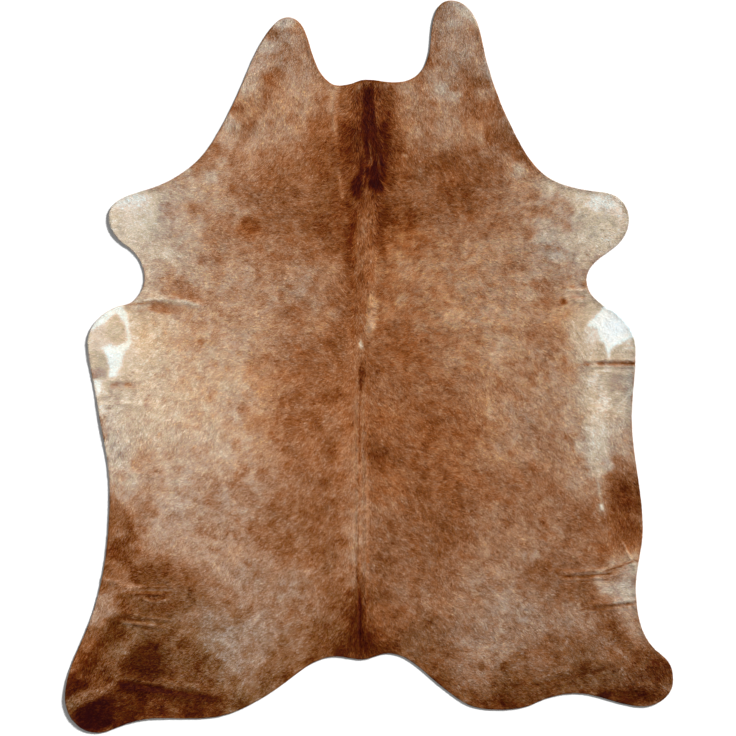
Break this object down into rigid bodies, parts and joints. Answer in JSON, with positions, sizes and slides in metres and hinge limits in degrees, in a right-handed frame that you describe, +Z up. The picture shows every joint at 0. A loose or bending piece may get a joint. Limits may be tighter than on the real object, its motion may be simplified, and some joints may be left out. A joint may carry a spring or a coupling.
{
  "type": "cowhide rug",
  "caption": "Whole cow hide with the hair on, cut to its natural outline and lying flat, for use as a floor rug.",
  "frame": {"origin": "on the floor, under the middle of the hide's bounding box", "axes": "+Z up through the sheet to the hair side, +Y towards the head end with the two ears, +X to the right of the hide seen from above with the head end at the top"},
  "size_m": [1.8228, 2.1951, 0.0107],
  "materials": {
    "hair_on_hide": "short red-brown roan hair with a soft sheen, lying flat on the leather"
  },
  "bodies": {
    "root": {"cowhide": "hair_on_hide"}
  },
  "joints": []
}
